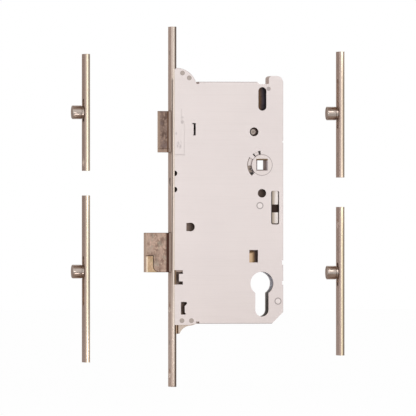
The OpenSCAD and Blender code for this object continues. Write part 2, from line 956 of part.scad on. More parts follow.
// Near half of the follower, with its cam lobes and the pinion that drives both racks
module drive_hub() {
    neck_r = root_r - 0.3;
    cam_y0 = -inner + lobe_gap;
    color(steel)
        difference() {
            union() {
                plane(-half, -inner)
                    circle(hub_d / 2);
                plane(-inner - eps, near_y0 + eps)
                    circle(neck_r);
                plane(cam_y0, cam_y0 + lobe_t)
                    for (lobe = lobes)
                        ring_sector(neck_r - 1, lobe[0], lobe[1], lobe[2]);
                plane(near_y0, near_y1 + 1)
                    pinion_outline();
                plane(near_y1 + 1 - eps, -rod_gap)
                    circle(hub_d / 2);
            }
            plane(-half - eps, 0)
                spindle_hole();
            spindle_bevel();
        }
}

// Far half of the follower, with the nose that pulls the latch and the arm on the spring
nose_reach = 18.3;
nose_r = 3;
hub_arm = 11;
hub_arm_r = 2.6;
module latch_hub() {
    arm_y = [0.6, inner - 0.8];
    color(steel) {
        plane(inner - 0.8 - eps, half)
            difference() {
                circle(hub_d / 2);
                spindle_hole();
            }
        plane(arm_y[0], arm_y[1])
            difference() {
                union() {
                    circle(hub_d / 2 + 1);
                    rotate(press_angle / 2) {
                        area([-nose_r, nose_r], [0, nose_reach]);
                        translate([0, nose_reach])
                            circle(nose_r);
                    }
                    area([0, hub_arm], [-hub_arm_r, hub_arm_r]);
                    translate([hub_arm, 0])
                        circle(hub_arm_r);
                }
                spindle_hole();
            }
        plane(rod_gap, arm_y[0] + eps)
            difference() {
                circle(hub_d / 2);
                spindle_hole();
            }
    }
}

// Return spring under the arm of the far half
module hub_spring() {
    top = -hub_arm_r - 0.2;
    seat = spring_post_z + sheet;
    color(dark_steel)
        translate([hub_arm, inner / 2, seat])
            coil(2, 0.4, 6, top - seat);
}

// Latch

tail_x = -57;
crosshead_x = -nose_reach * sin(press_angle / 2) + nose_r + 0.3;

// Latch bolt: flat on the near side, bevelled on the far side
module latch_bolt() {
    tip = front - latch_out;
    side = bolt_t / 2;
    nose = 2.2;
    step = 2.9;
    color(cast)
        difference() {
            translate([0, 0, latch_z - latch_h / 2])
                linear_extrude(latch_h)
                    polygon([[tip, -side], [tip, -side + nose], [front + 0.3, side], [tail_x, side],
                        [tail_x, -side]]);
            // Shallow step along the lower edge
            block([tip - eps, front - 1], [-side - eps, -side + 0.35],
                [latch_z - latch_h / 2 - eps, latch_z - latch_h / 2 + step]);
        }
}

// Flat tail from the latch to the follower, with the crosshead that the nose pushes
tail_h = 6.4;
tail_half_t = 1.6;
tail_pin_r = 2.3;
module latch_tail() {
    color(steel) {
        block([tail_x, crosshead_x + 5], [-tail_half_t, tail_half_t],
            [latch_z - tail_h / 2, latch_z + tail_h / 2]);
        block([crosshead_x, crosshead_x + 5], [0.6, 4.4],
            [nose_reach * cos(press_angle / 2) + 0.2, latch_z + tail_h / 2]);
    }
}

// Pin in the tail, seen through the round hole of the cover
module latch_tail_pin() {
    color(brass_plated)
        difference() {
            bar_y(tail_pin_x, latch_z, tail_pin_r, -inner + slide_gap, -tail_half_t);
            bar_y(tail_pin_x, latch_z, tail_pin_r / 3, -inner, -inner + slide_gap + 0.6);
        }
}

// Guide across the case in which the tail slides
guide_x = [-41, -37];
guide_half_h = 8.2;
module latch_guide() {
    gap = slide_gap;
    color(dark_steel)
        difference() {
            block(guide_x, [-inner, inner], [latch_z - guide_half_h, latch_z + guide_half_h]);
            block([guide_x[0] - eps, guide_x[1] + eps], [-tail_half_t - gap, tail_half_t + gap],
                [latch_z - tail_h / 2 - gap, latch_z + tail_h / 2 + gap]);
        }
}

// Spring round the tail, between the latch and its guide
module latch_spring() {
    color(dark_steel)
        translate([tail_x + 0.2, 0, latch_z])
            rotate([0, 90, 0])
                coil(4.6, 0.55, 6, guide_x[0] - tail_x - 0.4);
}

// Deadbolt

bolt_rear = -58;
insert_foot = 3.2;
insert_foot_h = 4.85;
insert_r = 4.65;
insert_depth = 3;
insert_gap = 0.35;

// Outline of the corner insert, with a hollow curve to its wider foot. Its pocket is wider by gap and
// runs out of the bolt by cut.
module insert_outline(gap = 0, cut = 0) {
    tip = front - bolt_out;
    low = -bolt_z - bolt_h / 2;
    side = tip + insert_len + gap;
    area([tip - cut, side], [low - cut, low + insert_h + gap]);
    difference() {
        area([side - eps, side + insert_foot], [low - cut, low + insert_foot_h]);
        translate([side + insert_r, low + insert_foot_h])
            circle(insert_r);
    }
}

module deadbolt() {
    tip = front - bolt_out;
    color(cast)
        difference() {
            block([tip, bolt_rear], [-bolt_t / 2, bolt_t / 2], [-bolt_z - bolt_h / 2, -bolt_z + bolt_h / 2]);
            plane(-bolt_t / 2 - eps, -bolt_t / 2 + insert_depth)
                insert_outline(insert_gap, eps);
        }
}

module deadbolt_insert() {
    color(bright_edge)
        plane(-bolt_t / 2, -bolt_t / 2 + insert_depth)
            insert_outline();
}

// Tail plate with a guide slot and the notches that the cylinder's cam turns in
bolt_tail_y = [-1.5, 3.2];
bolt_tail_rear = -5.5;
bolt_tail_z = [-bolt_z - 6.5, -bolt_z + 8.5];
bolt_tooth_h = 6.5;
bolt_tooth_w = 4;
bolt_tooth_pitch = 10;
bolt_pin = [-34, -bolt_z + 1];
bolt_pin_r = 2;
tail_rivet_r = 1;
tail_rivet_x = bolt_tail_rear - 9;
tail_rivet_places = [[tail_rivet_x, -bolt_z + 6.5], [tail_rivet_x, -bolt_z - 4]];
module bolt_tail() {
    slot_r = bolt_pin_r + side_gap;
    color(steel)
        plane(bolt_tail_y[0], bolt_tail_y[1])
            difference() {
                union() {
                    area([bolt_rear, bolt_tail_rear], bolt_tail_z);
                    for (i = [0 : 2], x1 = bolt_tail_rear - bolt_tooth_pitch * i)
                        area([x1 - bolt_tooth_w, x1], [bolt_tail_z[0] - bolt_tooth_h, bolt_tail_z[0] + 1]);
                }
                for (x = [bolt_pin[0], bolt_pin[0] - bolt_out])
                    translate([x, bolt_pin[1]])
                        circle(slot_r);
                area([bolt_pin[0] - bolt_out, bolt_pin[0]], [bolt_pin[1] - slot_r, bolt_pin[1] + slot_r]);
                at_each(tail_rivet_places)
                    circle(tail_rivet_r);
            }
}

// Rivets of the tail's stiffened rear end
module bolt_tail_rivets() {
    color(dark_steel)
        for (p = tail_rivet_places)
            bar_y(p[0], p[1], tail_rivet_r, bolt_tail_y[0] - 0.4, bolt_tail_y[1]);
}

module bolt_guide_pin() {
    color(dark_steel)
        bar_y(bolt_pin[0], bolt_pin[1], bolt_pin_r, bolt_tail_y[0] - 1, inner);
}

// Tumbler that the cylinder's cam lifts, on its pivot, with a leaf spring behind it
tumbler_x = -10;
tumbler_z = -50;
tumbler_pin_r = 2;
tumbler_eye_r = 4;
tumbler_arm_x = [tumbler_x - 2.5, tumbler_x + 4.6];
tumbler_neck_w = 2.3;
tumbler_shoulder = -66.2;
tumbler_low = cyl_z + 10.6;
tumbler_heel = 6.5;
tumbler_heel_z = [-70, -66];
leaf_t = 0.5;
leaf_low = -72;
leaf_block = [3, 4];
module tumbler() {
    color([0.62, 0.54, 0.36])
        plane(near_y0, near_y1)
            difference() {
                union() {
                    translate([tumbler_x, tumbler_z])
                        circle(tumbler_eye_r);
                    area(tumbler_arm_x, [tumbler_low, tumbler_shoulder]);
                    area([tumbler_arm_x[0], tumbler_arm_x[0] + tumbler_neck_w], [tumbler_low, tumbler_z]);
                    area([tumbler_x - tumbler_heel, tumbler_x], tumbler_heel_z);
                }
                translate([tumbler_x, tumbler_z])
                    circle(tumbler_pin_r + run_gap);
            }
}

module tumbler_pivot() {
    color(dark_steel)
        bar_y(tumbler_x, tumbler_z, tumbler_pin_r, near_y0, inner);
}

module tumbler_spring() {
    x = tumbler_x - tumbler_heel - slide_gap;
    color(dark_steel) {
        plane(near_y0, near_y1)
            area([x - leaf_t, x], [leaf_low, tumbler_z]);
        plane(near_y0, inner)
            area([x - leaf_block[0], x], [tumbler_z, tumbler_z + leaf_block[1]]);
    }
}

// Racks and links

// Toothed bar from z0 to z1 with its pitch line at x = 0 and its back at x1. The teeth point
// along -X, and a space stands at z = 0.
module toothed_bar(x1, z0, z1, first, last) {
    slope = tan(pressure);
    half_t = pitch / 4 - backlash / 4;
    foot = half_t + rack_root * slope;
    crest = half_t - rack_tip * slope;
    teeth = [for (i = [last : -1 : first], p = [[rack_root, foot], [-rack_tip, crest],
        [-rack_tip, -crest], [rack_root, -foot]]) [p[0], (i + 0.5) * pitch + p[1]]];
    polygon(concat([[x1, z0], [x1, z1], [rack_root, z1]], teeth, [[rack_root, z0]]));
}

// Upper rack, on the rear side of the pinion. The window of the cover shows its foot, which has a
// recess across its middle.
rack_x1 = pitch_r + rack_root + rack_web;
rack_foot_x = [8.4, 12.9];
rack_foot_z = [-44.4, -17];
rack_recess_z = [-36.1, -30];
rack_recess = 1.2;
rack_rivet_r = 1.2;
lower_rack_top = 15.6;
module upper_rack() {
    color(steel)
        difference() {
            plane(near_y0, near_y1)
                difference() {
                    union() {
                        translate([pitch_r, 0])
                            toothed_bar(rack_x1 - pitch_r, rack_foot_z[1] - 1, upper_arm_z[1], -5, 3);
                        round_window(rack_foot_x, rack_foot_z, 0.8);
                    }
                    translate([rack_x1 - rack_web / 2, upper_arm_mid])
                        circle(rack_rivet_r);
                }
            block(rack_foot_x + [-eps, eps], [near_y0 - eps, near_y0 + rack_recess], rack_recess_z);
        }
}

// Lower rack, on the front side of the pinion
module lower_rack() {
    color(dark_steel)
        plane(near_y0, near_y1)
            difference() {
                translate([-pitch_r, 0])
                    mirror([1, 0])
                        toothed_bar(rack_x1 - pitch_r, lower_lead_z[0], lower_rack_top, -5, 4);
                translate([-rack_x1 + rack_web / 2, lower_lead_mid])
                    circle(rack_rivet_r);
            }
}

// Foot of a link, which reaches from the far side to the rod
foot_t = 3;
link_rivet_r = 1.5;
module link_foot(z) {
    block([rod_x1, rod_x1 + foot_t], [-rod_w / 2 + 0.5, far_y1], z);
}

module link_rivet(z) {
    bar_x(0, (z[0] + z[1]) / 2, link_rivet_r, rod_x0 - eps, rod_x1 + foot_t);
}

// Upper link: from the rack's top across the case to the upper rod
module upper_link() {
    color(dark_steel)
        difference() {
            union() {
                block([rod_x1, rack_x1], [far_y0, far_y1], upper_arm_z);
                block([rack_x1 - rack_web, rack_x1], [near_y1, far_y1], upper_arm_z);
                link_foot(upper_arm_z);
            }
            link_rivet(upper_arm_z);
            bar_y(rack_x1 - rack_web / 2, upper_arm_mid, rack_rivet_r, near_y0, far_y1 + eps);
        }
}

// Lower link: from the rack's foot down behind the deadbolt's tail and forward to the lower rod
module lower_link() {
    color(dark_steel)
        difference() {
            union() {
                block([lower_drop_x[0], -rack_x1 + rack_web], [far_y0, far_y1], lower_lead_z);
                block([-rack_x1, -rack_x1 + rack_web], [near_y1, far_y1], lower_lead_z);
                block(lower_drop_x, [far_y0, far_y1], [lower_arm_z[0], lower_lead_z[1]]);
                block([rod_x1, lower_drop_x[1]], [far_y0, far_y1], lower_arm_z);
                link_foot(lower_arm_z);
            }
            link_rivet(lower_arm_z);
            bar_y(-rack_x1 + rack_web / 2, lower_lead_mid, rack_rivet_r, near_y0,
                far_y1 + eps);
        }
}

module upper_link_rivets() {
    color(dark_steel) {
        bar_x(0, upper_arm_mid, link_rivet_r, rod_x0, rod_x1 + foot_t);
        bar_y(rack_x1 - rack_web / 2, upper_arm_mid, rack_rivet_r, near_y0, far_y1);
    }
}

module lower_link_rivets() {
    color(dark_steel) {
        bar_x(0, lower_arm_mid, link_rivet_r, rod_x0, rod_x1 + foot_t);
        bar_y(-rack_x1 + rack_web / 2, lower_lead_mid, rack_rivet_r, near_y0, far_y1);
    }
}

faceplate_centre();
faceplate_upper_end();
faceplate_upper_mid();
faceplate_lower_mid();
faceplate_lower_end();
case_cover();
case_tray();
top_bracket();
bottom_bracket();
wing_rivets();
case_pillars();
rod_guides();
drive_hub();
latch_hub();
hub_spring();
latch_bolt();
latch_tail();
latch_tail_pin();
latch_guide();
latch_spring();
deadbolt();
deadbolt_insert();
bolt_tail();
bolt_tail_rivets();
bolt_guide_pin();
tumbler();
tumbler_pivot();
tumbler_spring();
upper_rack();
upper_link();
upper_link_rivets();
upper_rod();
upper_end_rod();
upper_mid_rod();
upper_end_stud();
upper_mid_stud();
lower_rack();
lower_link();
lower_link_rivets();
lower_rod();
lower_mid_rod();
lower_end_rod();
lower_mid_stud();
lower_end_stud();
upper_end_roller();
upper_mid_roller();
lower_mid_roller();
lower_end_roller();
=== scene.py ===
import json
import math

import bmesh
import bpy
import numpy as np
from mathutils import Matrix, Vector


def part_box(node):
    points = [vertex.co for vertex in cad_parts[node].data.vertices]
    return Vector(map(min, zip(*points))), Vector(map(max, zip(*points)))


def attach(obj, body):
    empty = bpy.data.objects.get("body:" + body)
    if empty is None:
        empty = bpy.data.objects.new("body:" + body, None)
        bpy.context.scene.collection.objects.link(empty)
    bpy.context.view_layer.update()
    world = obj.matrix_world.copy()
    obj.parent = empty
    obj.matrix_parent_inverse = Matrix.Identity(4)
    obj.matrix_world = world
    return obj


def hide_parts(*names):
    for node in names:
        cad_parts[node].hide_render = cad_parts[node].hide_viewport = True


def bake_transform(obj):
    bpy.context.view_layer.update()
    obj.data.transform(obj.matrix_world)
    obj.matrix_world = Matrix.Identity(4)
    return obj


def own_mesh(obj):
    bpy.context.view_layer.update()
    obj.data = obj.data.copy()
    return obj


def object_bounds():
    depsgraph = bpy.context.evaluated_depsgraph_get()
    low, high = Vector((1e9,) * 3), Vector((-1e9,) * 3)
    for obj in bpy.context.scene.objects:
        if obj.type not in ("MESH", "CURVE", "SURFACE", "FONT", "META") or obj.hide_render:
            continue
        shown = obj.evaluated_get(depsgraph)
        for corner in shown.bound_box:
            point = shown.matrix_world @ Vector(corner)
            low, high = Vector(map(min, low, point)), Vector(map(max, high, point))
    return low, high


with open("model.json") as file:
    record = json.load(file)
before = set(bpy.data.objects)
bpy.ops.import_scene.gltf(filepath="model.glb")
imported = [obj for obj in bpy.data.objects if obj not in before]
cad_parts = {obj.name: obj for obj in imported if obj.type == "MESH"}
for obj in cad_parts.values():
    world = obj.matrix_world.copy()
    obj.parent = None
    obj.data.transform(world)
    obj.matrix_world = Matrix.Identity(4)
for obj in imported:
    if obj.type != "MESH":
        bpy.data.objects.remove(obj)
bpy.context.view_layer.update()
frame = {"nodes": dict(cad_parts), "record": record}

# Camera, light and floor.
# A long lens looks at the lock from the photograph's angle, a little from the faceplate's side.
# Two large soft lamps and a pale room light it, on a pale floor.
AZIMUTH = math.radians(-10.3)
DISTANCE = 8.0
FRAME_WIDTH = 0.3165
SENSOR = 36
AIM_SIDE, AIM_HEIGHT = -0.0397, -0.0327
RIGHT = np.array([math.cos(AZIMUTH), math.sin(AZIMUTH), 0.0])
BACK = np.array([math.sin(AZIMUTH), -math.cos(AZIMUTH), 0.0])

camera_data = bpy.data.cameras.new("camera")
camera_data.sensor_width = SENSOR
camera_data.lens = SENSOR * DISTANCE / FRAME_WIDTH
camera_data.clip_end = 5 * DISTANCE
camera = bpy.data.objects.new("camera", camera_data)
camera.location = AIM_SIDE * RIGHT + np.array([0, 0, AIM_HEIGHT]) + DISTANCE * BACK
camera.rotation_euler = (math.pi / 2, 0, AZIMUTH)
bpy.context.collection.objects.link(camera)
scene = bpy.context.scene
scene.camera = camera
scene.view_settings.view_transform = "Standard"

LOCK_MIDDLE = np.array([0, 0, -0.03])


def soft_lamp(name, place, side, watts, mirrored):
    """A square area lamp at place, side metres wide, turned to face the lock. mirrored tells
    whether reflections see it."""
    data = bpy.data.lights.new(name, "AREA")
    data.size = side
    data.energy = watts
    lamp = bpy.data.objects.new(name, data)
    lamp.location = place
    away = np.array(place) - LOCK_MIDDLE
    flat = math.hypot(away[0], away[1])
    lamp.rotation_euler = (math.atan2(flat, away[2]), 0, math.atan2(away[0], -away[1]))
    lamp.visible_glossy = mirrored
    bpy.context.collection.objects.link(lamp)


soft_lamp("key_lamp", (0.5, -1.9, 1.0), 1.2, 3.7, mirrored=False)
soft_lamp("low_lamp", (-0.1, -2.0, -0.18), 0.5, 2.7, mirrored=True)

MM = 1000
WHITE = (1, 1, 1, 1)


class Value:
    """A shader socket that takes part in Python expressions. Each operation adds one Math node."""

    def __init__(self, tree, socket):
        self.tree, self.socket = tree, socket

    def math(self, operation, *terms):
        """A Math node of that operation, fed with the terms in their order."""
        return self.tree.node("Math", {"operation": operation}, dict(enumerate(terms)))

    def __add__(self, other):
        return self.math("ADD", self, other)

    def __radd__(self, other):
        return self.math("ADD", other, self)

    def __sub__(self, other):
        return self.math("SUBTRACT", self, other)

    def __rsub__(self, other):
        return self.math("SUBTRACT", other, self)

    def __mul__(self, other):
        return self.math("MULTIPLY", self, other)

    def __rmul__(self, other):
        return self.math("MULTIPLY", other, self)

    def __truediv__(self, other):
        return self.math("DIVIDE", self, other)

    def __abs__(self):
        return self.math("ABSOLUTE", self)

    def __pow__(self, other):
        return self.math("POWER", self, other)

    def either(self, other):
        """The larger of two masks."""
        return self.math("MAXIMUM", self, other)

    def ramp(self, low, high):
        """0 below low, 1 above high, and a smooth step between."""
        settings = {"interpolation_type": "SMOOTHSTEP"}
        return self.tree.node("MapRange", settings, {0: self, 1: low, 2: high, 3: 0.0, 4: 1.0})

    def fall(self, low, high):
        """1 below low, 0 above high, and a smooth step between."""
        return 1 - self.ramp(low, high)

    def band(self, rise, drop):
        """A mask that rises between the two numbers of rise and falls between those of drop."""
        return self.ramp(*rise) * self.fall(*drop)


class Finish:
    """A material's or the world's node tree. Its one method node() adds any node."""

    def __init__(self, name, owner=None):
        self.owner = owner or bpy.data.materials.new(name)
        self.owner.use_nodes = True
        self.nodes, self.links = self.owner.node_tree.nodes, self.owner.node_tree.links
        self.shader = self.nodes.get("Principled BSDF")

    def node(self, kind, settings=None, sockets=None, out=0):
        """Adds a node of that type, sets its settings, then feeds its sockets."""
        made = self.nodes.new("ShaderNode" + kind)
        for key, value in (settings or {}).items():
            setattr(made, key, value)
        for key, value in (sockets or {}).items():
            self.feed(made.inputs[key], value)
        return Value(self, made.outputs[out])

    def feed(self, socket, value):
        """Links a Value to the socket, or sets the socket's own number or colour."""
        if isinstance(value, Value):
            self.links.new(value.socket, socket)
        else:
            socket.default_value = value

    def place(self, scale=(1, 1, 1)):
        """Object coordinates in millimetres, stretched by scale."""
        coords = self.node("TexCoord", out="Object")
        return self.node("Mapping", sockets={0: coords, "Scale": [MM * part for part in scale]})

    def axes(self):
        """The object coordinates X, Y and Z, in millimetres."""
        parts = self.node("SeparateXYZ", sockets={0: self.place()})
        return [Value(self, socket) for socket in parts.socket.node.outputs]

    def noise(self, scale, detail=3.0, rough=0.55):
        """Noise on object coordinates, with scale features a millimetre along X, Y and Z."""
        return self.node("TexNoise", sockets={
            "Vector": self.place(scale), "Scale": 1.0, "Detail": detail, "Roughness": rough,
        })

    def mix(self, factor, a, b):
        """Colour a where factor is 0, colour b where it is 1."""
        settings = {"data_type": "RGBA", "clamp_factor": True}
        return self.node("Mix", settings, {0: factor, 6: a, 7: b}, out=2)

    def bump(self, height, strength, distance):
        """A Bump node's normal, for a height from 0 to 1 over distance metres."""
        sockets = {"Height": height, "Strength": strength, "Distance": distance}
        return self.node("Bump", sockets=sockets)

    def surface(self, colour, roughness, metallic=1.0, normal=None):
        """Feeds the shader and gives the material back."""
        fed = {"Base Color": colour, "Roughness": roughness, "Metallic": metallic}
        for key, value in fed.items():
            self.feed(self.shader.inputs[key], value)
        if normal is not None:
            self.feed(self.shader.inputs["Normal"], normal)
        return self.owner

    def shine(self, light):
        """Feeds the material's output with another shader than its own."""
        self.feed(self.nodes["Material Output"].inputs["Surface"], light)


def rgb(red, green, blue):
    """A colour as seen on screen, 0 to 255, in linear light."""
    parts = np.array([red, green, blue]) / 255
    linear = np.where(parts <= 0.04045, parts / 12.92, ((parts + 0.055) / 1.055) ** 2.4)
    return (*[float(part) for part in linear], 1.0)


ROOM_LIGHT = 0.7
world = bpy.data.worlds.new("studio")
scene.world = world
room = Finish("studio", world)
seen = room.node("LightPath", out="Is Camera Ray")
reflected = room.node("LightPath", out="Is Glossy Ray")
through = room.node("LightPath", out="Is Transmission Ray")
room_strength = room.node("Mix", {"data_type": "FLOAT", "clamp_factor": True},
                          {0: seen + reflected + through, 2: ROOM_LIGHT, 3: 1.0})
room.feed(room.nodes["Background"].inputs["Color"], WHITE)
room.feed(room.nodes["Background"].inputs["Strength"], room_strength)


def flat_sheet(name, centre, side, up):
    """A flat sheet with its corners at centre plus and minus the half edges side and up."""
    corners = [tuple(np.add(centre, np.multiply(a, side) + np.multiply(b, up)))
               for a, b in ((-1, -1), (1, -1), (1, 1), (-1, 1))]
    mesh = bpy.data.meshes.new(name)
    mesh.from_pydata(corners, [], [(0, 1, 2, 3)])
    sheet = bpy.data.objects.new(name, mesh)
    bpy.context.collection.objects.link(sheet)
    return sheet


FLOOR_HALF, FLOOR_GAP = 6, 0.0002
FLOOR_GREY, FLOOR_ROUGHNESS, FLOOR_GLOW = 0.9, 0.9, 0.97
floor_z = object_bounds()[0][2] - FLOOR_GAP
floor = flat_sheet("floor", (0, 0, floor_z), (FLOOR_HALF, 0, 0), (0, FLOOR_HALF, 0))
ground = Finish("floor_white")
ground.surface((FLOOR_GREY, FLOOR_GREY, FLOOR_GREY, 1), FLOOR_ROUGHNESS, metallic=0.0)
glow = ground.node("Emission", sockets={0: WHITE, 1: 1.0})
matte = Value(ground, ground.shader.outputs[0])
camera_ray = ground.node("LightPath", out="Is Camera Ray")
ground.shine(ground.node("MixShader", sockets={0: camera_ray * FLOOR_GLOW, 1: matte, 2: glow}))
floor.data.materials.append(ground.owner)


def reflection_card(name, centre, side, up, tone):
    """A sheet of the tone that only reflections see, with the half edges side and up."""
    card = flat_sheet(name, centre, side, up)
    card.visible_camera = card.visible_diffuse = False
    card.visible_shadow = card.visible_transmission = False
    paper = Finish(name)
    paper.shine(paper.node("Emission", sockets={0: tone, 1: 1.0}))
    card.data.materials.append(paper.owner)


FLOOR_CARD_LIFT = 0.001
CARD_GREY, BACK_GREY = rgb(182, 166, 156), rgb(168, 152, 143)
card_z = floor_z + FLOOR_CARD_LIFT
reflection_card("back_card", (-0.26, 1.0, -0.03), (0.485, 0.13, 0), (0, 0, 0.6), BACK_GREY)
reflection_card("top_card", (0, 0, 0.9), (1.1, 0, 0), (0, 0.75, 0), CARD_GREY)
reflection_card("floor_card", (0, 0, card_z), (0.3, 0, 0), (0, 0.2, 0), CARD_GREY)


# Faceplates.
# Strips of rolled steel with rounded front edges, nickel plated and brushed along their length.
# They are one long strip on the lock, screwed to the door's edge, shown here as five stretches.
WELD = 2e-6
SAME_PLANE, SHARP, CORNER = (math.radians(degrees) for degrees in (1, 14, 32))
FACEPLATE_ROUNDING = 0.00025
CASE_TOP = 63.2
TONGUE = ((-91.0, -90.7), (-80.0, -79.7))
SHEEN_SPAN, REAR_EDGE_SHADE = (4.0, 8.0), (2.2, 2.35)
SHADE_LINE_DEPTH = ((0.25, 0.45), (1.0, 1.3))
SHADE_LINE_HEIGHT = ((-140, -20), (CASE_TOP, CASE_TOP + 4))
# Front tones per stretch, painted shade: darker than the edges, and darker on the outer stretches
# than on the centre, though the strip is one nickel.
CENTRE_FRONT_SHADE = ((208, 190, 179), (230, 212, 200))
LEFT_FRONT_SHADE = ((176, 155, 144), (197, 175, 163))
RIGHT_FRONT_SHADE = ((192, 171, 161), (213, 192, 181))


def owner_of(name):
    """The body that a CAD node rides on."""
    bodies = frame["record"]["behaviour"]["bodies"]
    return next(body for body, nodes in bodies.items() if name in nodes)


def slot_of(name):
    """The record's material slot of a CAD node."""
    parts = frame["record"]["subparts"]
    return next(part["material_slot"] for part in parts if part["node"] == name)


def soften(material, rounding, name):
    """Stands a copy of the CAD node in its place, its sharp edges rounded by that many metres."""
    copy = bpy.data.objects.new(name + "_soft", frame["nodes"][name].data.copy())
    bpy.context.collection.objects.link(copy)
    copy.data.materials.clear()
    copy.data.materials.append(material)
    form = bmesh.new()
    form.from_mesh(copy.data)
    bmesh.ops.remove_doubles(form, verts=form.verts, dist=WELD)
    bmesh.ops.dissolve_limit(form, angle_limit=SAME_PLANE, verts=form.verts, edges=form.edges)
    form.to_mesh(copy.data)
    form.free()
    copy.data.shade_smooth()
    copy.data.set_sharp_from_angle(angle=SHARP)
    bevel = copy.modifiers.new("rounded edges", "BEVEL")
    bevel.width, bevel.segments, bevel.angle_limit = rounding, 2, CORNER
    bevel.use_clamp_overlap = True
    even = copy.modifiers.new("flat faces", "WEIGHTED_NORMAL")
    even.keep_sharp = True
    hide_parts(name)
    slot_of(name)
    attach(copy, owner_of(name))


def brushed_nickel(stretch, front, tones, edge, turn):
    """Nickel, brushed on the front face, at x = front in metres, and polished on the narrow edges.
    tones are the front's dark and light, painted shade that makes the front browner and darker than
    the edges, with painted sheen towards both long edges. edge is the narrow edges' colour,
    polished steel brightened into a painted highlight, and turn the depths in millimetres between
    which the colour turns to edge. The centre stretch has a dark line of painted shade beside the
    case, and its rear edge is painted dark by the tongue as painted shade."""
    finish = Finish("nickel_" + stretch)
    streaks = finish.noise((1.6, 1.6, 0.03), 4.0, 0.6)
    clouds = finish.noise((0.05, 0.05, 0.03), 2.0)
    x, y, z = finish.axes()
    depth = x - MM * front
    side = depth.ramp(*turn)
    painted_sheen = abs(y).ramp(*SHEEN_SPAN)
    dark, light = tones
    brushed = finish.mix(clouds, rgb(*dark), rgb(*light))
    brushed = finish.mix((streaks - 0.42) * 1.4, brushed, rgb(*[0.8 * part for part in dark]))
    # Painted sheen towards both long edges of the front.
    brushed = finish.mix(painted_sheen * 0.5, brushed, rgb(*light))
    if stretch == "centre":
        # Painted shade: a dark line along the rounded front edges, beside the case.
        line = depth.band(*SHADE_LINE_DEPTH) * z.band(*SHADE_LINE_HEIGHT)
        brushed = finish.mix(line * 0.9, brushed, rgb(108, 96, 92))
    # The narrow edges: polished steel brightened into a painted highlight.
    colour = finish.mix(side, brushed, finish.mix(streaks * 0.35, edge, rgb(190, 170, 150)))
    if stretch == "centre":
        # Painted shade: the rear edge dark by the tongue.
        colour = finish.mix(depth.ramp(*REAR_EDGE_SHADE) * z.band(*TONGUE), colour, rgb(84, 66, 52))
    brushing = finish.bump(streaks * (1 - side), 0.12, 0.0002)
    return finish.surface(colour, 0.3 + 0.14 * streaks - 0.08 * side, 1.0, brushing)


# Per stretch: front tones (painted shade), edge colour (polished steel brightened into a painted
# highlight) and the depths where the colour turns to it.
for stretch, tones, edge, turn in (
    ("centre", CENTRE_FRONT_SHADE, rgb(208, 196, 185), (0.9, 1.7)),
    ("upper_end", LEFT_FRONT_SHADE, rgb(252, 236, 210), (0.5, 1.5)),
    ("upper_mid", LEFT_FRONT_SHADE, rgb(252, 236, 210), (0.5, 1.5)),
    ("lower_mid", RIGHT_FRONT_SHADE, rgb(252, 232, 208), (0.8, 1.9)),
    ("lower_end", RIGHT_FRONT_SHADE, rgb(252, 236, 200), (0.8, 1.9)),
):
    plate = "faceplate_" + stretch
    nickel = brushed_nickel(stretch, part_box(plate)[0][0], tones, edge, turn)
    soften(nickel, FACEPLATE_ROUNDING, plate)


# Case cover, tray, pillars and top bracket.
# Pressed from pale zinc-plated sheet steel, with a fine grey line of painted shade along its
# edges. The pillars are headed over flush in the cover. Inside, the sheet is painted brown and dark
# as painted shade, and pale behind the slit and round the cylinder as painted light.
CASE_LOW, CASE_REAR = -120.6, 16.4
SHEET_ROUNDING = 0.00018
SHEET_TONES = ((226, 216, 214), (232, 222, 219))
PILLAR_TONES = ((232, 223, 221), (241, 232, 229))
EAR_X = 5.4
WING_X, WING_Z, WING_R = -66.1, 57.7, 16.0
WING_REAR = (-49, -48.6)
DIMPLE_X, DIMPLE_Z, DIMPLE_R = 5.1, 57.9, 1.65
PILLARS, PILLAR_RIM = ((-1.6, -30.9), (12.4, -103.5)), (1.7, 2.15)
FINGERMARKS = ((-64.0, 15.5, 2.6), (-61.5, 34.0, 2.2), (-66.4, 24.0, 1.0))
FINGERMARK_HEIGHT = 1.6
BAR_X, BAR_Y = (-66.5, -66.35), (-7.6, -7.55)
BAR_LEFT, BAR_RIGHT = (-67.1, -66.95), (-66.7, -66.55)
TALL_SLOT_X, TALL_SLOT_Z = (0.2, 3.8), (40, 41)
LATCH_SLIT_X = ((-58, -55), (-47, -45))
LATCH_SLIT_Z = ((18, 21), (35, 38))
CYLINDER_X, CYLINDER_Z = (2, 3), (-76, -75)


def dress(material, *names):
    """Gives the CAD nodes of those names the material, in place of the record's plain one."""
    for name in names:
        node = frame["nodes"][name]
        node.data.materials.clear()
        node.data.materials.append(material)


def inner_shade_and_light(finish, x, z):
    """Painted shade: brown all over, darker above, and brown to dark grey from left to right in the
    tall slot. Painted light: pale behind the slit, and pale round the cylinder with grey below it."""
    tone = finish.mix(z.ramp(-50, -30), rgb(166, 144, 132), rgb(122, 103, 94))
    in_tall_slot = finish.mix(x.ramp(*TALL_SLOT_X), rgb(134, 104, 84), rgb(113, 104, 111))
    tone = finish.mix(z.ramp(*TALL_SLOT_Z), tone, in_tall_slot)
    behind_slit = x.band(*LATCH_SLIT_X) * z.band(*LATCH_SLIT_Z)
    tone = finish.mix(behind_slit, tone, rgb(236, 226, 224))
    by_cylinder = x.ramp(*CYLINDER_X) * z.fall(*CYLINDER_Z)
    cylinder_light = finish.mix(z.ramp(-98, -92), rgb(151, 149, 145), rgb(243, 246, 255))
    return finish.mix(by_cylinder, tone, cylinder_light)


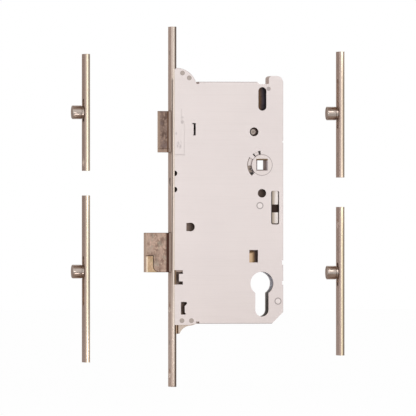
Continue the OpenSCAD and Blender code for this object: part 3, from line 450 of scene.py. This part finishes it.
def front_shade_and_stains(finish, colour, x, y, z):
    """The narrow bar beside the opening with the tongue, painted brown with dark edges as painted
    shade, and the fingermarks on the pads beside the latch."""
    bar = x.fall(*BAR_X) * y.ramp(*BAR_Y) * z.band(*TONGUE)
    colour = finish.mix(bar, colour, rgb(156, 130, 104))
    bar_edge_shade = bar * x.fall(*BAR_LEFT).either(x.ramp(*BAR_RIGHT))
    colour = finish.mix(bar_edge_shade, colour, rgb(92, 70, 54))
    first, second, third = (
        (((x - a) / r) ** 2.0 + ((z - b) / r / FINGERMARK_HEIGHT) ** 2.0).fall(0.2, 1.0)
        for a, b, r in FINGERMARKS
    )
    patches = finish.noise((0.5, 0.5, 0.3), 3.0, 0.6).ramp(0.42, 0.62)
    stain_and_shade = first.either(second).either(third) * patches
    return finish.mix(stain_and_shade * 0.4, colour, rgb(140, 130, 132))


def zinc_sheet(name, edge=None, inside=None, shade_and_stains=False, tones=SHEET_TONES):
    """Pale zinc. edge(x, y, z) masks grey lines: painted shade along the cover's and tray's edges,
    and grey rims round the pillars. inside(x, y, z) masks the inner side, painted with shade and
    light.
    stained adds the cover front's painted shade by the tongue, and its fingermarks."""
    finish = Finish(name)
    rolling = finish.noise((0.02, 0.5, 1.4), 4.0, 0.6)
    clouds = finish.noise((0.03, 0.03, 0.03), 3.0)
    grain = finish.noise((3.0, 3.0, 3.0), 2.0)
    x, y, z = finish.axes()
    colour = finish.mix(clouds, rgb(*tones[0]), rgb(*tones[1]))
    colour = finish.mix((rolling - 0.5) * 0.7, colour, rgb(215, 205, 202))
    if edge:
        colour = finish.mix(edge(x, y, z) * 0.8, colour, rgb(172, 162, 160))
    if inside:
        colour = finish.mix(inside(x, y, z), colour, inner_shade_and_light(finish, x, z))
    if shade_and_stains:
        colour = front_shade_and_stains(finish, colour, x, y, z)
    skin = finish.bump(grain * 0.5 + rolling * 0.5, 0.06, 0.0002)
    return finish.surface(colour, 0.3 + 0.12 * rolling + 0.06 * grain, 0.92, skin)


def edge_shade(x, y, z):
    """Painted shade: a fine line along the top, bottom, rear and the wing's arc, and a darker
    pressed dimple.
    """
    behind_wing = x.ramp(*WING_REAR)
    top = z.ramp(CASE_TOP - 0.6, CASE_TOP - 0.3) * x.fall(EAR_X - 1, EAR_X) * behind_wing
    low = z.fall(CASE_LOW + 0.3, CASE_LOW + 0.6) * behind_wing
    rear = x.ramp(CASE_REAR - 0.5, CASE_REAR - 0.25)
    reach = ((x - WING_X) ** 2.0 + (z - WING_Z) ** 2.0) ** 0.5
    on_wing = z.ramp(CASE_TOP, CASE_TOP + 0.3) * (1 - behind_wing)
    arc_line = reach.ramp(WING_R - 0.5, WING_R - 0.2) * on_wing
    dimple = ((x - DIMPLE_X) ** 2.0 + (z - DIMPLE_Z) ** 2.0).fall(1.6, DIMPLE_R ** 2)
    return top.either(low * 1.3).either(rear * 0.5).either(arc_line * 0.6).either(dimple * 1.1)


def shaded_inside(x, y, z):
    """The tray's inner side, where shade and light are painted, without its rim and its cut corner.
    """
    mask = y.fall(6.1, 6.5) * x.fall(CASE_REAR - 1.0, CASE_REAR - 0.6)
    mask = mask * z.band((CASE_LOW + 0.8, CASE_LOW + 1.2), (CASE_TOP - 2.4, CASE_TOP - 2.0))
    return mask * (x - z).fall(CASE_REAR - CASE_LOW - 10.2, CASE_REAR - CASE_LOW - 9.8)


def pillar_rims(x, y, z):
    """A grey ring round each pillar's flush head."""
    near, rear = (((x - px) ** 2.0 + (z - pz) ** 2.0) ** 0.5 for px, pz in PILLARS)
    return near.ramp(*PILLAR_RIM) * rear.ramp(*PILLAR_RIM) * 1.25


soften(zinc_sheet("zinc_cover", edge=edge_shade, shade_and_stains=True), SHEET_ROUNDING, "case_cover")
soften(zinc_sheet("zinc_tray", edge=edge_shade, inside=shaded_inside), SHEET_ROUNDING, "case_tray")
dress(zinc_sheet("zinc_pillar", edge=pillar_rims, tones=PILLAR_TONES), "case_pillars")
dress(zinc_sheet("zinc_bracket"), "top_bracket")


# Bottom bracket.
# A thick steel lug between the plates, zinc plated and gone grey-beige, with a thin leg beside it.
# It is riveted through the bottom wing.
BRACKET_LEG = 1.5
SLIT_SHADE_TOP, SLIT_SHADE_REAR = (-121.6, -121.3), (-64.4, -64.2)


def aged_zinc():
    """Cloudy beige. The leg is browner, and its outer edge and the slit beside it are painted dark
    as painted shade.
    """
    finish = Finish("aged_zinc")
    clouds = finish.noise((0.25, 0.25, 0.25), 3.0)
    x, _, z = finish.axes()
    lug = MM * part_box("bottom_bracket")[0][0] + BRACKET_LEG
    leg = x.fall(lug - 0.3, lug - 0.25)
    outer = x.fall(lug - 1.15, lug - 1.0)
    slit = x.band((lug - 0.3, lug - 0.2), SLIT_SHADE_REAR) * z.fall(*SLIT_SHADE_TOP)
    colour = finish.mix(clouds, rgb(196, 180, 166), rgb(212, 198, 186))
    colour = finish.mix(leg * 0.7, colour, rgb(178, 148, 118))
    # Painted shade along the leg's outer edge and in the slit.
    colour = finish.mix(outer, colour, rgb(84, 62, 46))
    colour = finish.mix(slit, colour, rgb(96, 70, 50))
    return finish.surface(colour, 0.3 + 0.15 * clouds, 1.0, finish.bump(clouds, 0.08, 0.0003))


dress(aged_zinc(), "bottom_bracket")


# Rivets and pins.
# Plain steel wire, headed cold, a little darker than the sheet that it holds.
def plain_steel():
    """Steel with soft marks."""
    finish = Finish("plain_steel")
    marks = finish.noise((2.0, 2.0, 2.0), 3.0)
    colour = finish.mix(marks, rgb(158, 146, 139), rgb(188, 177, 170))
    return finish.surface(colour, 0.25 + 0.2 * marks, 1.0, finish.bump(marks, 0.1, 0.0002))


dress(plain_steel(), "wing_rivets", "rod_guides", "bolt_tail_rivets", "upper_link_rivets",
      "lower_link_rivets", "bolt_guide_pin", "tumbler_pivot")


# Follower.
# Two sintered steel discs on one spindle: the near one is the pinion, the far one pulls the latch.
# Each turns with its hub in the plates' holes.
RIM_RISE, RIM_DROP = (7.55, 7.9), (8.15, 8.25)
MOUTH, MOUTH_RAISED, UPPER_WALL_SHADE = (4.4, 4.6), 0.25, (3.2, 3.5)


def sintered_steel():
    """Pale porous steel, with a grey rim where the hub meets the cover, and painted shade on the
    square hole's walls: darker, the upper one brown."""
    finish = Finish("sintered_steel")
    pores = finish.noise((2.6, 2.6, 2.6), 3.0)
    x, _, z = finish.axes()
    rim = ((x ** 2.0 + z ** 2.0) ** 0.5).band(RIM_RISE, RIM_DROP)
    mouth = abs(x).either(abs(z - MOUTH_RAISED)).fall(*MOUTH)
    # Painted shade on the square hole's walls, browner on the upper one.
    walls = finish.mix(z.ramp(*UPPER_WALL_SHADE), rgb(178, 166, 168), rgb(146, 126, 104))
    colour = finish.mix(pores, rgb(222, 211, 208), rgb(236, 226, 222))
    colour = finish.mix(rim, colour, rgb(168, 156, 156))
    colour = finish.mix(mouth, colour, walls)
    return finish.surface(colour, 0.34 + 0.15 * pores, 0.92, finish.bump(pores, 0.15, 0.0002))


dress(sintered_steel(), "drive_hub", "latch_hub")


# Racks, tails and links.
# Stamped steel slides inside the case: the racks and the deadbolt's tail zinc plated, the links
# and the latch's tail phosphated dark. They run between the plates and move the rods and bolts.
RACK_RECESS_SHADE, RECESS_FLOOR = ((-36.15, -36.0), (-30.1, -29.95)), (-4.7, -4.6)
RACK_SHADE = (8.8, 12.2)
OVER_TUMBLER_X, OVER_TUMBLER_Z = (-14, -13), ((-67, -66.5), (-62, -61))
PIN_LEAN, PIN_WEAR, PIN_SHADE_CRESCENT = 0.55, (0.3, 1.2), (1.8, 2.2)


def slide_steel(name, dark, light, stain_and_shade=None):
    """Drawn steel in two tones. The last argument, a mask of x, y and z, adds painted shade, dark
    brown, where it is given.
    """
    finish = Finish(name)
    drawn = finish.noise((0.9, 0.9, 0.05), 3.0)
    colour = finish.mix(drawn, dark, light)
    if stain_and_shade:
        colour = finish.mix(stain_and_shade(*finish.axes()), colour, rgb(110, 85, 66))
    return finish.surface(colour, 0.3 + 0.15 * drawn, 1.0, finish.bump(drawn, 0.08, 0.0002))


def shade_above_tumbler(x, y, z):
    """Painted shade on the part of the deadbolt's tail that shows over the tumbler."""
    return z.band(*OVER_TUMBLER_Z) * x.ramp(*OVER_TUMBLER_X)


def shade_left_of_slot(x, y, z):
    """Painted shade on the left part of what shows in the tall slot."""
    return x.fall(*TALL_SLOT_X)


def phosphated_steel():
    """Dark speckled steel."""
    finish = Finish("phosphated_steel")
    specks = finish.noise((1.5, 1.5, 1.5), 4.0)
    colour = finish.mix(specks, rgb(112, 98, 89), rgb(142, 124, 112))
    return finish.surface(colour, 0.45 + 0.2 * specks, 0.8, finish.bump(specks, 0.15, 0.0002))


def pin_steel():
    """A pin marked by wear, with painted shade as a dark crescent where it leans away from the hole
    in the cover.
    """
    finish = Finish("pin_steel")
    marks = finish.noise((1.2, 1.2, 1.2), 3.0)
    x, _, z = finish.axes()
    low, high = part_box("latch_tail_pin")
    centre_x, centre_z = (MM * (low[k] + high[k]) / 2 for k in (0, 2))
    reach = ((x - centre_x + PIN_LEAN) ** 2.0 + (z - centre_z) ** 2.0) ** 0.5
    colour = finish.mix(marks, rgb(150, 138, 130), rgb(186, 174, 166))
    colour = finish.mix(reach.fall(*PIN_WEAR), colour, rgb(140, 128, 120))
    colour = finish.mix(reach.ramp(*PIN_SHADE_CRESCENT), colour, rgb(78, 62, 62))
    return finish.surface(colour, 0.3 + 0.15 * marks, 1.0, finish.bump(marks, 0.1, 0.0002))


def rack_steel():
    """Slide steel with painted shade: duller to the left, bright to the right, and dark in the
    recess across the rack's foot.
    """
    finish = Finish("rack_steel")
    drawn = finish.noise((0.9, 0.9, 0.05), 3.0)
    x, y, z = finish.axes()
    recess = z.band(*RACK_RECESS_SHADE) * y.ramp(*RECESS_FLOOR)
    colour = finish.mix(x.ramp(*RACK_SHADE), rgb(178, 164, 150), rgb(248, 240, 236))
    colour = finish.mix((drawn - 0.4) * 0.6, colour, rgb(190, 178, 168))
    colour = finish.mix(recess, colour, rgb(58, 46, 42))
    return finish.surface(colour, 0.3 + 0.15 * drawn, 1.0, finish.bump(drawn, 0.08, 0.0002))


TAIL_TONES = rgb(186, 178, 174), rgb(212, 204, 200)
BRIGHT_TONES = rgb(196, 188, 186), rgb(222, 214, 212)
LINK_TONES = rgb(88, 82, 92), rgb(112, 105, 116)
LOWER_RACK_SHADE_TONES = rgb(134, 120, 111), rgb(162, 148, 138)
dress(slide_steel("slide_steel", *TAIL_TONES, shade_above_tumbler), "bolt_tail")
dress(slide_steel("guide_steel", *BRIGHT_TONES), "latch_guide")
dress(slide_steel("link_steel", *LINK_TONES, shade_left_of_slot), "upper_link")
# The lower rack's darker tones are painted shade.
dress(slide_steel("grey_steel", *LOWER_RACK_SHADE_TONES), "lower_rack")
dress(phosphated_steel(), "latch_tail", "lower_link")
dress(pin_steel(), "latch_tail_pin")
dress(rack_steel(), "upper_rack")


# Springs.
# The latch's coil, painted bright as painted light where it shows in the slit, the follower's dark
# coil and the tumbler's dark leaf, of spring steel.
WIRE_TONES = rgb(104, 92, 84), rgb(134, 120, 110)


def live_copy(material, name):
    """Stands a copy of the CAD node in its place, for a piece that a joint presses or bends."""
    copy = bpy.data.objects.new(name + "_live", frame["nodes"][name].data.copy())
    bpy.context.collection.objects.link(copy)
    copy.data.materials.clear()
    copy.data.materials.append(material)
    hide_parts(name)
    slot_of(name)
    return copy


dark_wire = slide_steel("dark_wire", *WIRE_TONES)
# The latch's coil is painted bright as painted light, where it shows in the slit.
coil = live_copy(slide_steel("spring_wire", *BRIGHT_TONES), "latch_spring")
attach(coil, "case")
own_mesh(coil)
coil = live_copy(dark_wire, "hub_spring")
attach(coil, "case")
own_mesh(coil)
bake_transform(live_copy(dark_wire, "tumbler_spring"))


# Tumbler.
# A stamped brass lever on its pivot, seen in the square window above the cylinder hole.
BRASS_SHADE_X, BRASS_SHADE_Z = (-8.2, -5.4), (-67.6, -66.4)


def plain_brass():
    """Tarnished brass, with painted shade darker towards its upper and rear edges."""
    finish = Finish("plain_brass")
    tarnish = finish.noise((0.4, 0.4, 0.4), 3.0)
    x, _, z = finish.axes()
    brass_edge_shade = x.ramp(*BRASS_SHADE_X).either(z.ramp(*BRASS_SHADE_Z))
    colour = finish.mix(tarnish, rgb(196, 165, 130), rgb(214, 184, 150))
    colour = finish.mix(brass_edge_shade, colour, rgb(120, 96, 70))
    return finish.surface(colour, 0.3 + 0.15 * tarnish, 1.0, finish.bump(tarnish, 0.08, 0.0002))


dress(plain_brass(), "tumbler")


# Drive rods.
# Flat bars of dark zinc-plated steel that slide behind the faceplates, held by the guide rivets.
SLOT_LIGHT_HALF, SLOT_LIGHT_DEPTH = (3.0, 3.6), (0.1, 0.3)
# The centre rods' darker tones are painted shade; all the rods are one zinc.
CENTRE_ROD_SHADE_TONES = rgb(92, 80, 73), rgb(120, 107, 98)
OUTER_ROD_TONES = rgb(126, 114, 102), rgb(158, 144, 130)


def dark_zinc(dark, light, *rods):
    """Dark zinc, with painted light: pale along the middle of the front face, where the stud's slot
    shows it.
    """
    finish = Finish("dark_zinc_" + rods[0])
    drawn = finish.noise((1.2, 1.2, 0.03), 4.0)
    x, y, _ = finish.axes()
    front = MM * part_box(rods[0])[0][0]
    slot_light = abs(y).fall(*SLOT_LIGHT_HALF) * (x - front).fall(*SLOT_LIGHT_DEPTH)
    colour = finish.mix(slot_light, finish.mix(drawn, dark, light), rgb(226, 206, 188))
    dress(finish.surface(colour, 0.3 + 0.18 * drawn, 1.0, finish.bump(drawn, 0.1, 0.0002)), *rods)


dark_zinc(*CENTRE_ROD_SHADE_TONES, "upper_rod", "lower_rod")
for pair in (("upper_end_rod", "upper_mid_rod"), ("lower_mid_rod", "lower_end_rod")):
    dark_zinc(*OUTER_ROD_TONES, *pair)


# Latch bolt and deadbolt.
# Sintered steel blocks, nickel plated over a coarse mottled skin, with painted shadow where they
# enter the faceplate, a painted highlight at the tip, a painted pale nose and painted shade along
# the top. The deadbolt has a hardened corner insert.
# The nose's painted light, and the faceplate's colour for the bolt's root.
NOSE_LIGHT, BY_FACEPLATE = rgb(240, 218, 200), rgb(162, 145, 135)


def mottled_nickel(name, tones, scale, root_shade, tip_glint, foot, box):
    """Plating mottled in four tones, with scale blotches a millimetre. The painted shadow where the
    bolt enters the faceplate is given as its band of x, its colour and the band of x past which the
    bolt looks as the faceplate does. The painted highlight along the edge at the tip and the strip
    along the bottom are given as colour and width, in millimetres. The nose is painted pale as
    painted light, and the top edge dark as painted shade."""
    finish = Finish(name)
    dark, mid, light, green = (rgb(*tone) for tone in tones)
    blotches = finish.noise((scale, scale, 0.75 * scale), 4.0, 0.55)
    flecks = finish.noise((3 * scale, 3 * scale, 2 * scale), 3.0, 0.5)
    tint = finish.noise((1.3 * scale, 1.3 * scale, 1.3 * scale), 2.0)
    x, _, z = finish.axes()
    (tip, _, low), (_, _, top) = (tuple(MM * part for part in corner) for corner in box)
    (tip_glint_tone, tip_glint_width), (foot_tone, foot_width) = tip_glint, foot
    colour = finish.mix(blotches.ramp(0.36, 0.62), dark, mid)
    colour = finish.mix(flecks.ramp(0.48, 0.68) * 0.6, colour, light)
    colour = finish.mix(tint.ramp(0.5, 0.66) * 0.5, colour, green)
    bottom = z.fall(low + 0.6 * foot_width, low + foot_width)
    colour = finish.mix(bottom * 0.6, colour, rgb(*foot_tone))
    # Painted highlight along the edge at the tip.
    tip_sheen = x.fall(tip + 0.6 * tip_glint_width, tip + tip_glint_width)
    colour = finish.mix(tip_sheen * 0.8, colour, rgb(*tip_glint_tone))
    # Painted light: the nose pale.
    colour = finish.mix(x.fall(tip + 0.1, tip + 0.2) * 0.7, colour, NOSE_LIGHT)
    # Painted shade along the top edge.
    colour = finish.mix(z.ramp(top - 1.0, top - 0.3) * 0.5, colour, dark)
    if root_shade:
        band, tone, end = root_shade
        # Painted shadow where the bolt enters the faceplate.
        colour = finish.mix(x.ramp(*band), colour, rgb(*tone))
        colour = finish.mix(x.ramp(*end), colour, BY_FACEPLATE)
    skin = finish.bump(0.7 * blotches + 0.3 * flecks, 0.2, 0.0005)
    return finish.surface(colour, 0.32 + 0.16 * flecks, 1.0, skin)


# Per bolt: mottle tones, blotch scale, painted shadow by the faceplate, painted tip highlight,
# bottom strip and rounding.
for bolt, tones, scale, root_shade, tip_glint, foot, rounding in (
    ("latch_bolt",
     ((103, 84, 76), (137, 116, 106), (172, 147, 131), (126, 109, 106)), 0.22,
     ((-73.0, -72.6), (98, 72, 56), (-71.9, -71.5)),
     ((160, 138, 122), 2.0), ((168, 144, 128), 3.0), 0.0004),
    ("deadbolt",
     ((140, 116, 103), (184, 158, 143), (216, 186, 166), (162, 154, 140)), 0.25,
     ((-73.7, -73.3), (74, 50, 42), (-71.5, -71.1)),
     ((186, 160, 143), 1.0), ((112, 92, 80), 0.8), 0.0004),
    ("deadbolt_insert",
     ((178, 148, 118), (198, 168, 138), (222, 194, 164), (180, 164, 128)), 0.2,
     None,
     ((252, 232, 208), 1.3), ((184, 160, 126), 2.0), 0.0002),
):
    plating = mottled_nickel(bolt + "_nickel", tones, scale, root_shade, tip_glint, foot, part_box(bolt))
    soften(plating, rounding, bolt)


# Rollers and studs.
# Turned steel sleeves, nickel plated and polished, each turning on a stud that is riveted into the
# drive rod.
BORE_R, RECESS_R, RECESS = 0.00305, 0.004, 0.00085
INNER_ROUNDING, OUTER_ROUNDING, LIP = 0.0003, 0.0007, 0.0001
GLINT_AHEAD, GLINT_NEAR, GLINT_SIDE = 0.0215, -0.1, 0.014
GLINT_TONE = (4.2, 3.95, 3.85, 1)
TURNED_EDGE = math.radians(40)


def turned_nickel():
    """Polished nickel with faint turning rings."""
    finish = Finish("turned_nickel")
    rings = finish.noise((2.0, 0.1, 0.1), 2.0)
    marks = finish.noise((0.3, 0.3, 0.3), 2.0)
    colour = finish.mix(marks, rgb(180, 166, 157), rgb(194, 181, 171))
    colour = finish.mix(rings.ramp(0.45, 0.75) * 0.3, colour, rgb(168, 152, 142))
    return finish.surface(colour, 0.15 + 0.05 * marks)


def lathe(name, profile, axis_z, steps=96):
    """A closed body turned about the line y = 0, z = axis_z. Each row of profile is (x, r), and a
    point at the angle a lies at (x, r cos a, axis_z + r sin a)."""
    x, r = np.array(profile).T
    angle = np.linspace(0, 2 * np.pi, steps, endpoint=False)
    points = np.stack([np.broadcast_to(x, (steps, x.size)), np.outer(np.cos(angle), r),
                       axis_z + np.outer(np.sin(angle), r)], axis=-1).reshape(-1, 3)
    rows, columns = np.arange(steps), np.arange(x.size)
    i, k = (grid.ravel() for grid in np.meshgrid(rows, columns, indexing="ij"))
    j, n = (i + 1) % steps, (k + 1) % x.size
    faces = np.stack([i * x.size + k, i * x.size + n, j * x.size + n, j * x.size + k], axis=-1)
    mesh = bpy.data.meshes.new(name)
    mesh.from_pydata(points.tolist(), [], faces.tolist())
    mesh.shade_smooth()
    mesh.set_sharp_from_angle(angle=TURNED_EDGE)
    body = bpy.data.objects.new(name, mesh)
    bpy.context.collection.objects.link(body)
    return body


def arc(centre_x, centre_r, radius, start, end, steps=7):
    """A rounding in the profile plane: a point at the angle a lies at (centre_x + radius cos a,
    centre_r + radius sin a), for a from start to end in degrees."""
    a = np.radians(np.linspace(start, end, steps))
    return np.stack([centre_x + radius * np.cos(a), centre_r + radius * np.sin(a)], axis=-1)


# Each roller has its own bright card, as far above or below it as the photo's highlight asks, and
# on edge to the roller of the neighbouring stretch.
sleeve_nickel = turned_nickel()
for stretch, glint_rise, glint_up in (
    ("upper_end", -0.064, (0, 0.0113, -0.0064)),
    ("upper_mid", -0.064, (0, 0, 0.012)),
    ("lower_mid", 0.056, (0, 0, 0.012)),
    ("lower_end", 0.056, (0, 0.0109, 0.0071)),
):
    low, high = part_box(stretch + "_roller")
    outer, inner, r = low[0], high[0], (high[2] - low[2]) / 2
    axis_z = (low[2] + high[2]) / 2
    glint = ((outer + inner) / 2 + GLINT_AHEAD, GLINT_NEAR, axis_z + glint_rise)
    reflection_card(stretch + "_glint", glint, (GLINT_SIDE, 0, 0), glint_up, GLINT_TONE)
    profile = [
        (outer + RECESS, BORE_R), (inner, BORE_R),
        *arc(inner - INNER_ROUNDING, r - INNER_ROUNDING, INNER_ROUNDING, 0, 90, 4),
        *arc(outer + OUTER_ROUNDING, r - OUTER_ROUNDING, OUTER_ROUNDING, 90, 180),
        (outer, RECESS_R + LIP), (outer + LIP, RECESS_R), (outer + RECESS, RECESS_R),
    ]
    sleeve = lathe(stretch + "_sleeve", profile, axis_z)
    sleeve.data.materials.append(sleeve_nickel)
    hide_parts(stretch + "_roller")
    slot_of(stretch + "_roller")
    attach(sleeve, owner_of(stretch + "_roller"))
    dress(sleeve_nickel, stretch + "_stud")
